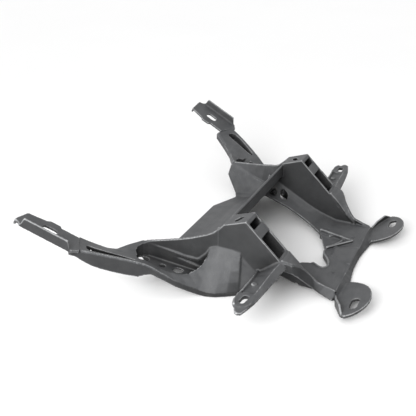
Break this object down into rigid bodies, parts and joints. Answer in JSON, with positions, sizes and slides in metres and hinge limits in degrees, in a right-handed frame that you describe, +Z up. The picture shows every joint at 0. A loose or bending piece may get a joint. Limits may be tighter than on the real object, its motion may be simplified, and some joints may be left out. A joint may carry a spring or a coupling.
{
  "type": "motorcycle fairing stay",
  "caption": "Moulded black plastic fairing bracket: slotted rear arms, box towers, a trough between them, an open middle, a front tray and slotted lugs.",
  "frame": {"origin": "below the middle of the bracket's box, on the plane it rests on", "axes": "+X to the bracket's right, +Y back towards the arm ends, -Y to the front tray, +Z up"},
  "size_m": [0.415, 0.324, 0.0934],
  "materials": {
    "charcoal_plastic": "matte, fine moulded grain"
  },
  "bodies": {
    "root": {"fairing_stay": "charcoal_plastic"}
  },
  "joints": []
}
